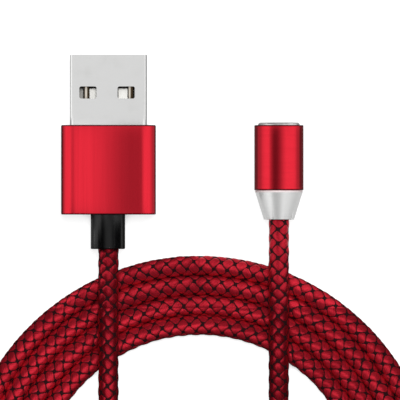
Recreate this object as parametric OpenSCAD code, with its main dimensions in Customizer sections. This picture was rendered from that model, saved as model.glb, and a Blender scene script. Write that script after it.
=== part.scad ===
// Charging cable: a type A plug in a red aluminium housing, a braided cord wound
// into a flat coil, and a round magnetic tip with a sprung centre contact.
// Millimetres. The cable lies on Z = 0; +Y points out of the plug's mouth and out
// of the magnet's face, +X runs from the plug to the tip.

/* [Cord] */
// Diameter of the braided cord
cord_d = 3.1; // [2.8:0.05:3.4]
// Diameter of one insulated wire inside the cord
wire_d = 0.8; // [0.6:0.05:0.9]

/* [Coil] */
// How much further than the cord's diameter one turn steps out
strand_gap = 0; // [0:0.05:0.6]
// Centre-line radius of the innermost strand, on the side towards the plug
coil_r = 26.65; // [24:0.05:28]

/* [Layout] */
// Distance between the plug's axis and the tip's axis
axis_gap = 26.7; // [24:0.1:30]

/* [Plug shell] */
// Width of the steel shell
shell_w = 12.0; // [11.8:0.05:12.2]
// Thickness of the steel shell
shell_t = 4.5; // [4.4:0.05:4.6]
// Wall of the steel shell
shell_wall = 0.3; // [0.25:0.05:0.35]
// Outer corner radius of the steel shell
shell_r = 0.75; // [0.5:0.05:1]
// Length of shell that stands out of the housing
shell_reach = 11.0; // [10.5:0.1:12]
// Length of shell held inside the housing
shell_buried = 7.5; // [6.5:0.1:8]
// Width of a latch window
window_w = 2.6; // [2.2:0.1:2.8]
// Length of a latch window
window_len = 1.9; // [1.6:0.1:2.2]
// Distance from the plug's axis to a window's centre
window_x = 3.05; // [2.7:0.05:3.3]
// Distance from the shell's mouth to a window's front edge
window_back = 5.1; // [4.8:0.1:5.4]
// Corner radius of a latch window
window_r = 0.3; // [0.15:0.05:0.5]

/* [Plug insulator and contacts] */
// Thickness of the insulator's tongue
tongue_t = 1.9; // [1.7:0.05:2]
// Distance from the shell's mouth to the tongue's tip
tongue_back = 0.4; // [0.3:0.1:0.8]
// Depth of the socket from the shell's mouth
socket_depth = 9.0; // [8.8:0.1:9.4]
// Length of the insulator's block behind the socket
block_len = 6.5; // [5.5:0.1:7]
// Width of a contact strip
contact_w = 1.0; // [0.8:0.05:1.1]
// Thickness of a contact strip
contact_t = 0.25; // [0.2:0.05:0.3]
// Distance between the two supply contacts
supply_span = 7.0; // [6.8:0.1:7.2]
// Distance between the two data contacts
data_span = 2.0; // [1.8:0.1:2.2]
// Distance from the shell's mouth to a supply contact's tip
supply_back = 1.5; // [1.2:0.1:2]
// Distance from the shell's mouth to a data contact's tip
data_back = 2.5; // [2.2:0.1:3]
// Length of a contact's solder tail behind the block
tail_len = 2.0; // [1.5:0.1:2.2]

/* [Plug housing] */
// Length of the housing
housing_len = 14.0; // [13.5:0.1:16]
// Wall of the housing's sleeve
housing_wall = 0.8; // [0.7:0.05:1]
// Thickness of the housing's rear wall
rear_wall = 1.0; // [0.8:0.1:1.4]
// Outer corner radius of the housing
housing_r = 2.3; // [1.8:0.1:2.6]
// Width of the front frame's rim beside the shell
rim_side = 0.6; // [0.4:0.05:0.8]
// Width of the front frame's rim above and below the shell
rim_flat = 0.85; // [0.7:0.05:1]
// Depth of the front frame
frame_depth = 1.5; // [1.2:0.1:2]
// How far the front frame sits behind the housing's front edge
frame_inset = 0.15; // [0.05:0.05:0.3]

/* [Plug strain relief] */
// Diameter of the strain relief's collar
collar_d = 5.4; // [4.8:0.1:5.7]
// Length of the collar behind the housing
collar_len = 5.4; // [4.5:0.1:7]
// Thickness of the flange inside the housing
flange_t = 1.2; // [0.8:0.1:1.4]
// How far the flange stands out beside the collar
flange_lip = 1.5; // [1:0.1:1.9]
// Wall of the crimp rings on the cord
crimp_wall = 0.5; // [0.4:0.05:0.6]
// Length of a crimp ring
crimp_len = 1.2; // [1:0.1:1.4]
// Length of cord jacket that stands out of a crimp ring towards the wires
jacket_stub = 0.3; // [0.2:0.1:0.5]

/* [Tip barrel and cone] */
// Diameter of the tip's barrel
barrel_d = 7.7; // [7.4:0.1:8.2]
// Length of the tip's barrel
barrel_len = 10.2; // [9.8:0.1:12]
// Wall of the tip's barrel
barrel_wall = 0.55; // [0.45:0.05:0.65]
// Chamfer on the barrel's edges
barrel_chamfer = 0.15; // [0.05:0.05:0.2]
// Length of the cone behind the barrel
cone_len = 4.6; // [4:0.1:6]
// How much smaller than the barrel the cone's large end is, on the radius
cone_step = 0.15; // [0.1:0.05:0.25]
// Length of the straight band at the cone's large end
cone_band = 0.3; // [0.2:0.05:0.5]
// Diameter of the cone's small end
cone_end_d = 4.8; // [4.4:0.1:5.2]
// Length of the cone's spigot inside the barrel
spigot_len = 1.5; // [1:0.1:2]

/* [Tip face] */
// How far the ring magnet stands out of the barrel
magnet_proud = 0.4; // [0.2:0.05:0.6]
// Length of the ring magnet
magnet_len = 3.0; // [2.5:0.1:3.5]
// Bore of the ring magnet
magnet_bore = 3.2; // [3:0.1:3.8]
// Chamfer on the magnet's outer front edge
magnet_chamfer = 0.2; // [0.1:0.05:0.25]
// How far the insulator's face lies behind the magnet's face
face_inset = 0.1; // [0.05:0.05:0.2]
// Thickness of the earth washer behind the magnet
washer_t = 0.2; // [0.15:0.05:0.3]
// Width of the earth washer's ring
washer_w = 1.25; // [1:0.05:1.3]
// Thickness of the tip's circuit board
board_t = 0.8; // [0.6:0.1:1]
// Wall of the spacer sleeve behind the board
spacer_wall = 0.6; // [0.5:0.05:0.7]

/* [Sprung contact] */
// Diameter of the contact's barrel
pogo_d = 1.5; // [1.4:0.05:1.7]
// Wall of the contact's barrel
pogo_wall = 0.2; // [0.15:0.05:0.25]
// Length of the contact's barrel
pogo_len = 4.4; // [4.2:0.1:4.6]
// Thickness of the contact barrel's front lip
pogo_lip = 0.25; // [0.2:0.05:0.35]
// Thickness of the contact barrel's rear wall
pogo_end = 0.3; // [0.2:0.05:0.4]
// Diameter of the plunger's nose
nose_d = 0.8; // [0.7:0.05:0.85]
// Length of nose still outside the contact's barrel when the plunger is pressed in
nose_spare = 0.1; // [0.05:0.05:0.2]
// How far the plunger's nose lies behind the magnet's face
nose_inset = 0.05; // [0.05:0.05:0.15]
// Length of the plunger's shoulder
shoulder_len = 0.8; // [0.6:0.1:0.9]
// Travel of the plunger
travel = 0.8; // [0.5:0.05:0.8]
// Diameter of the spring's wire
spring_wire = 0.14; // [0.1:0.01:0.16]
// Number of turns in the spring
spring_turns = 5; // [4:1:6]

/* [Clearances] */
// Clearance round a piece that is pushed into its seat, on each side
seat = 0.05; // [0.03:0.01:0.07]
// Clearance round the moving plunger, on the radius
slip = 0.04; // [0.02:0.01:0.06]
// Gap between parts that only face each other
stack_gap = 0.02; // [0.01:0.01:0.03]

/* [Hidden] */
$fn = 64;
fine = 0.01; // keeps cuts clear of the faces they open

// Housing sizes, built up round the shell
bore_w = shell_w + 2 * rim_side;
bore_t = shell_t + 2 * rim_flat;
bore_r = housing_r - housing_wall;
housing_w = bore_w + 2 * housing_wall;
housing_t = bore_t + 2 * housing_wall;

// Places along Y: the plug from its mouth to its collar, then the tip
mouth_y = (shell_reach + housing_len + collar_len) / 2;
housing_front = mouth_y - shell_reach;
housing_rear = housing_front - housing_len;
collar_rear = housing_rear - collar_len;
shell_rear = housing_front - shell_buried;
block_front = mouth_y - socket_depth;
block_rear = block_front - block_len;
frame_front = housing_front - frame_inset;
frame_rear = frame_front - frame_depth;
flange_rear = housing_rear + rear_wall + stack_gap;
flange_front = flange_rear + flange_t;
mould_rear = flange_front + stack_gap;
plug_crimp_rear = mould_rear + stack_gap;
plug_crimp_front = plug_crimp_rear + crimp_len;
plug_jacket_end = plug_crimp_front + jacket_stub;
barrel_front = housing_front;
barrel_rear = barrel_front - barrel_len;
cone_rear = barrel_rear - cone_len;
face_y = barrel_front + magnet_proud;
magnet_rear = face_y - magnet_len;
washer_rear = magnet_rear - stack_gap - washer_t;
board_front = washer_rear - stack_gap;
board_rear = board_front - board_t;
spigot_front = barrel_rear + spigot_len;
spacer_front = board_rear - stack_gap;
spacer_rear = spigot_front + stack_gap;
tip_crimp_rear = spacer_rear;
tip_crimp_front = tip_crimp_rear + crimp_len;
tip_jacket_end = tip_crimp_front + jacket_stub;
nose_tip = face_y - nose_inset;
pogo_front = nose_tip - travel - nose_spare;
pogo_rear = pogo_front - pogo_len;
shoulder_front = pogo_front - pogo_lip - stack_gap;
shoulder_rear = shoulder_front - shoulder_len;

// Radii of the round pieces
crimp_r = cord_d / 2 + seat + crimp_wall;
barrel_bore_r = barrel_d / 2 - barrel_wall;
inner_r = barrel_bore_r - seat;
cone_r = barrel_d / 2 - cone_step;
pogo_bore_r = pogo_d / 2 - pogo_wall;
spring_r = pogo_bore_r - slip - spring_wire / 2;

// The tongue lies against the shell's lower wall, with its contacts facing up
shell_inner_w = shell_w - 2 * shell_wall;
shell_inner_t = shell_t - 2 * shell_wall;
shell_inner_r = shell_r - shell_wall;
tongue_top = tongue_t + seat - shell_inner_t / 2;
contact_top = tongue_top - seat;
wire_on_tail = contact_top + wire_d / 2 + stack_gap;

// Both ends lie on Z = 0, centred together on X = 0
ends_span = housing_w / 2 + axis_gap + barrel_d / 2;
plug_x = housing_w / 2 - ends_span / 2;
tip_x = ends_span / 2 - barrel_d / 2;
plug_z = housing_t / 2;
tip_z = barrel_d / 2;

// Wires inside the plug, from the cord's jacket to the supply contact's tail:
// how far sideways from the plug's axis, how far ahead of the jacket's end, height
plug_wire_run = [[0.5, 0, 0], [0.6, 0.7, 0.1], [1.5, 1.5, 0.3], [2.9, 2.4, 0.45]];
plug_wire_last = [
    [supply_span / 2, block_rear - tail_len, wire_on_tail],
    [supply_span / 2, block_rear - tail_len / 2, wire_on_tail]
];
// Wires inside the tip, from the jacket to the board's rear face
tip_wire_run = [[0.5, 0, 0], [0.8, 0.9, 0], [1.5, 1.8, 0]];
tip_pad_x = 1.6;

// The coil: one flat spiral, wound outwards from its inner end
coil_x = 2.9;
coil_y = -53.8;
coil_rings = 24;
coil_sides = 6;
coil_step = 360 / coil_rings;
coil_first = -30;
coil_last = 1245;
strand_step = cord_d + strand_gap;

// The cord's free runs, from the plug to the coil and from the coil to the tip
tail_sides = 8;
plug_run = [
    [-11.6, -21.5, 4.8], [-11.6, -28, 4.8], [-11.6, -34.5, 4.6], [-11.6, -41, 3.6],
    [-11.6, -47.5, 2.4], [-11.6, -54, 1.7], [-11.3, -60.3, 1.55], [-9.2, -66.3, 1.55],
    [-5.2, -71.3, 1.55], [0.1, -74.7, 1.55], [6.3, -76.3, 1.55], [12.6, -75.8, 1.55],
    [18.4, -73.3, 1.55]
];
tip_run = [
    [-33.7, -53.8, 1.75], [-33.1, -60.2, 2.4], [-31.1, -66.4, 3.4], [-27.6, -71.9, 4.4],
    [-22.6, -76.2, 4.8], [-16.8, -79, 4.8], [-10.3, -80.2, 4.8], [-3.8, -79.7, 4.8],
    [2.3, -77.4, 4.8], [7.6, -73.5, 4.7], [11.7, -68.4, 4.1], [14.2, -62.4, 3.1],
    [15.1, -55.9, 2.1], [15.1, -49.5, 1.7], [15.1, -43, 2.2], [15.1, -36.5, 3.4],
    [15.1, -30, 4.8], [15.1, -23.5, 4.8], [15.1, -17, 4.5]
];

// Lengthens v to one
function unit(v) = v / norm(v);

// Heading of a route at its point i; both ends are given
function heading(route, i, first, last) =
    i == 0 ? first :
    i == len(route) - 1 ? last :
    unit(route[i + 1] - route[i - 1]);

// Points of one ring round a centre, square to its heading
function ring(centre, dir, ref, r, sides, turn) =
    let (side = unit(cross(dir, ref)), up = cross(side, dir))
    [for (k = [0:sides - 1])
        let (a = turn + 360 * k / sides)
        centre + r * (cos(a) * side + sin(a) * up)];

// All rings of a tube along a route
function rings(route, r, sides, turn, first, last, ref) =
    [for (i = [0:len(route) - 1])
        ring(route[i], heading(route, i, first, last), ref, r, sides, turn)];

// A closed tube along a route, from its own rings
module tube(route, r, sides, turn, first, last, ref = [0, 0, 1]) {
    end = (len(route) - 1) * sides;
    points = [for (one = rings(route, r, sides, turn, first, last, ref)) each one];
    walls = [for (i = [0:sides:end - 1], k = [0:sides - 1])
        let (a = i + k, b = i + (k + 1) % sides)
        each [[a, b, b + sides], [a, b + sides, a + sides]]];
    caps = [for (k = [1:sides - 2]) each [[0, k + 1, k], [end, end + k, end + k + 1]]];
    polyhedron(points, concat(walls, caps));
}

// The spiral's centre line
function coil_radius(a) = coil_r + strand_step * (a - 90) / 360;
function coil_at(a) =
    [coil_x + coil_radius(a) * cos(a), coil_y + coil_radius(a) * sin(a), cord_d / 2];

// Both ends of the coil run straight for one diameter, along the spiral's next chord
coil_in_dir = unit(coil_at(coil_first) - coil_at(coil_first - coil_step));
coil_in = coil_at(coil_first) - cord_d * coil_in_dir;
coil_out_dir = unit(coil_at(coil_last + coil_step) - coil_at(coil_last));
coil_out = coil_at(coil_last) + cord_d * coil_out_dir;
coil_route = concat(
    [coil_in],
    [for (a = [coil_first:coil_step:coil_last]) coil_at(a)],
    [coil_out]
);
coil_turn = 30; // puts a corner on top and a flat on each side
tail_turn = 22.5; // puts a flat on top and on each side

// Least gap between neighbouring strands, on the rings' points and half way between
coil_ring_points = rings(
    coil_route, cord_d / 2, coil_sides, coil_turn, coil_in_dir, coil_out_dir, [0, 0, 1]
);
coil_points = [for (i = [0:len(coil_route) - 2]) concat(
    coil_ring_points[i],
    (coil_ring_points[i] + coil_ring_points[i + 1]) / 2
)];
coil_gap = min([
    for (i = [0:len(coil_points) - 1])
    for (j = [i + coil_rings - 2:1:min(i + coil_rings + 2, len(coil_points) - 1)])
    for (p = coil_points[i], q = coil_points[j])
    norm(p - q)
]);
function route_length(route) =
    [for (i = [1:len(route) - 1]) norm(route[i] - route[i - 1])] *
    [for (i = [1:len(route) - 1]) 1];
plug_tail_route = concat([[plug_x, collar_rear, plug_z]], plug_run, [coil_in]);
tip_tail_route = concat([coil_out], tip_run, [[tip_x, cone_rear, tip_z]]);
echo(coil_least_gap = coil_gap);
echo(
    plug_tail_length = route_length(plug_tail_route),
    coil_length = route_length(coil_route),
    tip_tail_length = route_length(tip_tail_route)
);

// Placing and shaping
module at_plug() translate([plug_x, 0, plug_z]) children();
module at_tip() translate([tip_x, 0, tip_z]) children();
module along_y(from, to)
    translate([0, to, 0]) rotate([90, 0, 0]) linear_extrude(to - from) children();
module turned() rotate([-90, 0, 0]) rotate_extrude() children();
module rounded(w, h, r) {
    square([w - 2 * r, h], center = true);
    square([w, h - 2 * r], center = true);
    for (sx = [-1, 1], sy = [-1, 1])
        translate([sx * (w / 2 - r), sy * (h / 2 - r)]) circle(r);
}
module round_bar(from, to, r) along_y(from, to) circle(r);
module sleeve(from, to, outer, inner)
    along_y(from, to) difference() { circle(outer); circle(inner); }

// Pressed steel shell, open at both ends, with latch windows in both broad faces
module plug_shell() color("gainsboro") at_plug() difference() {
    along_y(shell_rear, mouth_y) difference() {
        rounded(shell_w, shell_t, shell_r);
        rounded(shell_inner_w, shell_inner_t, shell_inner_r);
    }
    for (s = [-1, 1])
        translate([s * window_x, mouth_y - window_back - window_len / 2, -shell_t])
            linear_extrude(2 * shell_t) rounded(window_w, window_len, window_r);
}

// Slot that one contact lies in: open on the tongue, closed in the block
module contact_slot(x, back)
    translate([
        x - contact_w / 2 - seat,
        block_rear - fine,
        contact_top - contact_t - seat
    ])
        cube([
            contact_w + 2 * seat,
            mouth_y - back + seat - block_rear + fine,
            contact_t + 2 * seat
        ]);

// White insulator: a tongue against the shell's lower wall and a block behind it
module plug_insulator() color("white") at_plug() difference() {
    union() {
        translate([seat - shell_inner_w / 2 + shell_inner_r, block_front - fine, 0])
            translate([0, 0, tongue_top - tongue_t])
                cube([
                    shell_inner_w - 2 * seat - 2 * shell_inner_r,
                    socket_depth - tongue_back + fine,
                    tongue_t
                ]);
        along_y(block_rear, block_front)
            rounded(shell_inner_w - 2 * seat, shell_inner_t - 2 * seat, shell_inner_r);
    }
    for (s = [-1, 1]) {
        contact_slot(s * supply_span / 2, supply_back);
        contact_slot(s * data_span / 2, data_back);
    }
}

// One gold-plated contact strip, from its tip on the tongue to its solder tail
module contact(x, back)
    translate([x - contact_w / 2, block_rear - tail_len, contact_top - contact_t])
        cube([contact_w, mouth_y - back - block_rear + tail_len, contact_t]);
module supply_contact() color("gold") at_plug() contact(-supply_span / 2, supply_back);
module earth_contact() color("gold") at_plug() contact(supply_span / 2, supply_back);
module data_minus_contact() color("gold") at_plug() contact(-data_span / 2, data_back);
module data_plus_contact() color("gold") at_plug() contact(data_span / 2, data_back);

// Black frame that centres the shell in the housing's open front
module plug_front_frame() color("#202022") at_plug()
    along_y(frame_rear, frame_front) difference() {
        rounded(bore_w - 2 * seat, bore_t - 2 * seat, bore_r - seat);
        rounded(shell_w + 2 * seat, shell_t + 2 * seat, shell_r + seat);
    }

// Moulded block that fills the housing round the shell, the joints and the crimp
module plug_inner_mould() color("ivory") at_plug() difference() {
    along_y(mould_rear, frame_rear - stack_gap)
        rounded(bore_w - 2 * seat, bore_t - 2 * seat, bore_r - seat);
    along_y(shell_rear - seat, frame_rear)
        rounded(shell_w + 2 * seat, shell_t + 2 * seat, shell_r + seat);
    along_y(plug_crimp_front, shell_rear)
        square([shell_inner_w - 2 * shell_wall, shell_inner_t], center = true);
    round_bar(mould_rear - fine, plug_crimp_front + fine, crimp_r + seat);
}

// Red aluminium housing: a sleeve with a rear wall that the collar comes out of
module plug_housing() color("#c81f30") at_plug() difference() {
    along_y(housing_rear, housing_front) rounded(housing_w, housing_t, housing_r);
    along_y(housing_rear + rear_wall, housing_front + fine)
        rounded(bore_w, bore_t, bore_r);
    round_bar(housing_rear - fine, housing_rear + rear_wall + fine, collar_d / 2 + seat);
}

// Black strain relief: a collar behind the housing with a flange inside it
module plug_strain_relief() color("#161616") at_plug() difference() {
    union() {
        round_bar(collar_rear, flange_rear + fine, collar_d / 2);
        along_y(flange_rear, flange_front)
            rounded(collar_d + 2 * flange_lip, bore_t - 2 * seat, bore_r - seat);
    }
    round_bar(collar_rear - fine, flange_front + fine, cord_d / 2 + seat);
}

// Steel ring crimped on the cord, which stops it from being pulled out
module plug_crimp_ring() color("silver") at_plug()
    sleeve(plug_crimp_rear, plug_crimp_front, crimp_r, cord_d / 2 + seat);

// End of the cord's jacket, from the collar's rear face to the wires
module plug_cord_end() color("#8f1526") at_plug()
    round_bar(collar_rear, plug_jacket_end, cord_d / 2);

// One wire inside the plug, on side s
module plug_wire(s) {
    run = [for (p = plug_wire_run) [s * p[0], plug_jacket_end + stack_gap + p[1], p[2]]];
    last = [for (p = plug_wire_last) [s * p[0], p[1], p[2]]];
    tube(concat(run, last), wire_d / 2, tail_sides, tail_turn, [0, 1, 0], [0, 1, 0]);
}
module plug_supply_wire() color("red") at_plug() plug_wire(-1);
module plug_earth_wire() color("black") at_plug() plug_wire(1);

// The cord from the plug's collar, over the strands and down to the coil's inner end
module plug_tail() color("#b01c30")
    tube(plug_tail_route, cord_d / 2, tail_sides, tail_turn, [0, -1, 0], coil_in_dir);

// The coil of cord
module cord_coil() color("#b01c30")
    tube(coil_route, cord_d / 2, coil_sides, coil_turn, coil_in_dir, coil_out_dir);

// The cord from the coil's outer end, over the strands and up to the tip's cone
module tip_tail() color("#b01c30")
    tube(tip_tail_route, cord_d / 2, tail_sides, tail_turn, coil_out_dir, [0, 1, 0]);

// Red aluminium barrel of the tip
module tip_barrel() color("#c81f30") at_tip() turned() polygon([
    [barrel_bore_r, barrel_rear],
    [barrel_d / 2 - barrel_chamfer, barrel_rear],
    [barrel_d / 2, barrel_rear + barrel_chamfer],
    [barrel_d / 2, barrel_front - barrel_chamfer],
    [barrel_d / 2 - barrel_chamfer, barrel_front],
    [barrel_bore_r, barrel_front]
]);

// Silver cone that closes the barrel, with a spigot inside it and a bore for the cord
module tip_cone() color("silver") at_tip() turned() polygon([
    [cord_d / 2 + seat, cone_rear],
    [cone_end_d / 2, cone_rear],
    [cone_r, barrel_rear - stack_gap - cone_band],
    [cone_r, barrel_rear - stack_gap],
    [inner_r, barrel_rear - stack_gap],
    [inner_r, spigot_front],
    [cord_d / 2 + seat, spigot_front]
]);

// Plated ring magnet that shows as the tip's face
module tip_magnet() color("gainsboro") at_tip() turned() polygon([
    [magnet_bore / 2, magnet_rear],
    [inner_r, magnet_rear],
    [inner_r, face_y - magnet_chamfer],
    [inner_r - magnet_chamfer, face_y],
    [magnet_bore / 2, face_y]
]);

// Black insulator between the magnet and the sprung contact
module tip_insulator() color("#202022") at_tip()
    sleeve(magnet_rear, face_y - face_inset, magnet_bore / 2 - seat, pogo_d / 2 + seat);

// Bronze washer that takes the earth side from the magnet to the board
module tip_earth_washer() color("goldenrod") at_tip()
    sleeve(washer_rear, magnet_rear - stack_gap, inner_r, inner_r - washer_w);

// Round circuit board that carries the sprung contact and both wires
module tip_board() color("darkgreen") at_tip()
    sleeve(board_rear, board_front, inner_r, pogo_d / 2 + seat);

// Spacer sleeve that holds the board against the magnet
module tip_spacer() color("ivory") at_tip()
    sleeve(spacer_rear, spacer_front, inner_r, inner_r - spacer_wall);

// Steel ring crimped on the cord inside the tip
module tip_crimp_ring() color("silver") at_tip()
    sleeve(tip_crimp_rear, tip_crimp_front, crimp_r, cord_d / 2 + seat);

// End of the cord's jacket inside the cone
module tip_cord_end() color("#8f1526") at_tip()
    round_bar(cone_rear, tip_jacket_end, cord_d / 2);

// One wire inside the tip, on side s, soldered to the board's rear face
module tip_wire(s) {
    run = [for (p = tip_wire_run) [s * p[0], tip_jacket_end + stack_gap + p[1], p[2]]];
    pad = [s * tip_pad_x, board_rear - stack_gap, 0];
    tube(concat(run, [pad]), wire_d / 2, tail_sides, tail_turn, [0, 1, 0], [0, 1, 0]);
}
module tip_supply_wire() color("red") at_tip() tip_wire(-1);
module tip_earth_wire() color("black") at_tip() tip_wire(1);

// Gold-plated barrel of the sprung contact, lipped at its front
module pogo_barrel() color("gold") at_tip() turned() polygon([
    [0, pogo_rear],
    [pogo_d / 2, pogo_rear],
    [pogo_d / 2, pogo_front],
    [nose_d / 2 + slip, pogo_front],
    [nose_d / 2 + slip, pogo_front - pogo_lip],
    [pogo_bore_r, pogo_front - pogo_lip],
    [pogo_bore_r, pogo_rear + pogo_end],
    [0, pogo_rear + pogo_end]
]);

// Gold-plated plunger: a domed nose and a shoulder that the lip holds in
module pogo_plunger() color("gold") at_tip() {
    round_bar(shoulder_rear, shoulder_front, pogo_bore_r - slip);
    round_bar(shoulder_front - fine, nose_tip - nose_d / 2, nose_d / 2);
    translate([0, nose_tip - nose_d / 2, 0]) turned() intersection() {
        circle(nose_d / 2);
        square(nose_d);
    }
}

// Spring between the plunger and the contact barrel's rear wall
spring_rings = 8;
spring_sides = 6;
spring_rear = pogo_rear + pogo_end + stack_gap + spring_wire / 2;
spring_len = shoulder_rear - stack_gap - spring_wire / 2 - spring_rear;
function spring_at(t) = [
    spring_r * cos(360 * t * spring_turns),
    spring_rear + spring_len * t,
    spring_r * sin(360 * t * spring_turns)
];
module pogo_spring() color("silver") at_tip() {
    route = [for (i = [0:spring_turns * spring_rings])
        spring_at(i / (spring_turns * spring_rings))];
    start = unit(route[1] - route[0]);
    finish = unit(route[len(route) - 1] - route[len(route) - 2]);
    tube(route, spring_wire / 2, spring_sides, 0, start, finish, [0, 1, 0]);
}

plug_shell();
plug_insulator();
supply_contact();
earth_contact();
data_minus_contact();
data_plus_contact();
plug_front_frame();
plug_inner_mould();
plug_housing();
plug_strain_relief();
plug_crimp_ring();
plug_cord_end();
plug_supply_wire();
plug_earth_wire();
plug_tail();
cord_coil();
tip_tail();
tip_barrel();
tip_cone();
tip_magnet();
tip_insulator();
tip_earth_washer();
tip_board();
tip_spacer();
tip_crimp_ring();
tip_cord_end();
tip_supply_wire();
tip_earth_wire();
pogo_barrel();
pogo_plunger();
pogo_spring();
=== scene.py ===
import math

import bmesh
import bpy
import numpy as np
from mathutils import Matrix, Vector


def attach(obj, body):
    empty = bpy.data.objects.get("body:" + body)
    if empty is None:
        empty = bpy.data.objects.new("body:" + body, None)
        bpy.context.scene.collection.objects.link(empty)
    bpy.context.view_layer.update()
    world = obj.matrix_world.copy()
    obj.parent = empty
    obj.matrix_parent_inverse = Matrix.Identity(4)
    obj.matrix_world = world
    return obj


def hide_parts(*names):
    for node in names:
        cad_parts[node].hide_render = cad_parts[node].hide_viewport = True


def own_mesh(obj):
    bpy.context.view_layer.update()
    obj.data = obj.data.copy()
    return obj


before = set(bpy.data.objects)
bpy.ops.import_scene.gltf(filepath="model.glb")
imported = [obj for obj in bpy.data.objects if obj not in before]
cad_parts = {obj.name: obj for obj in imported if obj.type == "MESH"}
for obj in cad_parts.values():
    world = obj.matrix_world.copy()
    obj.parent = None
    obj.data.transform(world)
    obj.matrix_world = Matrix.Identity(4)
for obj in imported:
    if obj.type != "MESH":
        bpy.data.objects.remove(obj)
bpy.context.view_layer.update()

# The camera looks straight down from about a metre, through a long lens, so that
# the cable is seen with almost no perspective.
view_width = 0.06265
view_x, view_y = 0.002757, -0.007525
seen_height = 0.0045
lens_mm = 600
sensor_mm = 36
bpy.ops.object.camera_add(
    location=(view_x, view_y, seen_height + view_width * lens_mm / sensor_mm),
    rotation=(0, 0, 0),
)
camera = bpy.context.object
camera.name = "camera"
camera.data.lens = lens_mm
camera.data.sensor_width = sensor_mm
bpy.context.scene.camera = camera
bpy.context.scene.view_settings.view_transform = "Standard"

# The cord: one length of cable, 0.92 m long, from the plug's collar through the coil
# to the tip's cone. Its black jacket carries a braid of eight flat red nylon yarns, four
# wound each way, and each yarn runs over one of the others and under the next.
cord_d = 0.0031
cord_z = cord_d / 2
coil_x, coil_y = 0.0031, -0.0538
coil_r = 0.02665
coil_first, coil_last, coil_step = -30, 1245, 15
straight_lead = 0.006


def coil_point(degrees):
    """The coil's centre line, a flat spiral that steps out by one cord a turn."""
    radius = coil_r + cord_d * (degrees - 90) / 360
    turn = math.radians(degrees)
    return np.array(
        [coil_x + radius * math.cos(turn), coil_y + radius * math.sin(turn), cord_z]
    )


def lead(degrees, step):
    """The point one diameter past an end of the coil, towards the spiral's next point."""
    onwards = coil_point(degrees + step) - coil_point(degrees)
    return coil_point(degrees) + cord_d * onwards / np.linalg.norm(onwards)


coil_in = lead(coil_first, -coil_step)
coil_out = lead(coil_last, coil_step)
plug_run = np.array([
    (-11.575, -15.2, 3.9), (-11.6, -21.5, 4.8), (-11.6, -28, 4.8), (-11.6, -34.5, 4.6),
    (-11.6, -41, 3.6), (-11.6, -47.5, 2.4), (-11.6, -54, 1.7), (-11.3, -60.3, 1.55),
    (-9.2, -66.3, 1.55), (-5.2, -71.3, 1.55), (0.1, -74.7, 1.55), (6.3, -76.3, 1.55),
    (12.6, -75.8, 1.55), (18.4, -73.3, 1.55),
]) / 1000
tip_run = np.array([
    (-33.7, -53.8, 1.75), (-33.1, -60.2, 2.4), (-31.1, -66.4, 3.4), (-27.6, -71.9, 4.4),
    (-22.6, -76.2, 4.8), (-16.8, -79, 4.8), (-10.3, -80.2, 4.8), (-3.8, -79.7, 4.8),
    (2.3, -77.4, 4.8), (7.6, -73.5, 4.7), (11.7, -68.4, 4.1), (14.2, -62.4, 3.1),
    (15.1, -55.9, 2.1), (15.1, -49.5, 1.7), (15.1, -43, 2.2), (15.1, -36.5, 3.4),
    (15.1, -30, 4.8), (15.1, -23.5, 4.8), (15.1, -17, 4.5), (15.125, -10.6, 3.85),
]) / 1000
coil_run = np.array(
    [coil_in]
    + [coil_point(a) for a in range(coil_first, coil_last + 1, coil_step)]
    + [coil_out]
)
route = np.concatenate([plug_run, coil_run, tip_run])
into_plug = plug_run[:1] + (0, straight_lead, 0)
into_tip = tip_run[-1:] + (0, straight_lead, 0)


def smooth_line(points, pieces=24):
    """A curve through the points, with its knots spaced by the square root of their
    distance, which keeps it from swinging out where long and short steps meet."""
    spans = np.sqrt(np.linalg.norm(np.diff(points, axis=0), axis=1))
    knots = np.concatenate([[0], np.cumsum(spans)])
    line = []
    for i in range(1, len(points) - 2):
        p, k = points[i - 1:i + 3], knots[i - 1:i + 3]
        t = np.linspace(k[1], k[2], pieces, endpoint=False)[:, None]

        def between(a, b, at_a, at_b):
            return (at_b - t) / (at_b - at_a) * a + (t - at_a) / (at_b - at_a) * b

        a1 = between(p[0], p[1], k[0], k[1])
        a2 = between(p[1], p[2], k[1], k[2])
        a3 = between(p[2], p[3], k[2], k[3])
        b1 = between(a1, a2, k[0], k[2])
        b2 = between(a2, a3, k[1], k[3])
        line.append(between(b1, b2, k[1], k[2]))
    return np.concatenate([*line, points[-2:-1]])


cord_line = smooth_line(np.concatenate([into_plug, route, into_tip]))
along = np.concatenate([[0], np.cumsum(np.linalg.norm(np.diff(cord_line, axis=0), axis=1))])
cord_length = along[-1]

# A weave period, from under through over to under, has twelve rings of points, and a
# yarn goes round the cord in four of them. The coil's braid is pushed a little together.
tail_weave, coil_weave = 0.00224, 0.00212
ring_count = 12
yarns_each_way = 4
yarn_width, yarn_spread = 0.0016, -0.00006
yarn_thick = 0.0005
yarn_mid_r = 0.0013
wave_up, wave_down = 0.00007, 0.00032
wave_square = 0.7
core_r = 0.00153
core_sides = 20
section_angles = np.radians([0, 12, 28, 48, 70, 90, 110, 132, 152, 168, 180, 270])
section_square = 0.95
section_x = np.sign(np.cos(section_angles)) * np.abs(np.cos(section_angles)) ** section_square
section_y = np.sign(np.sin(section_angles)) * np.abs(np.sin(section_angles)) ** section_square
section_loop = np.stack([section_x * yarn_width, section_y * yarn_thick], axis=1)
section_steps = np.linalg.norm(np.roll(section_loop, -1, axis=0) - section_loop, axis=1)
section_v = np.concatenate([[0], np.cumsum(section_steps)]) / section_steps.sum()
yarn_top = section_v[5]
turn_at = np.array([0, 147, 324, 521, 737, 917]) / 1000
turn_degrees = [-4, -5, 3, -28, -27, 6]
shades, map_corner = 4, 0.001
smooth_under = math.radians(62)

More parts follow.
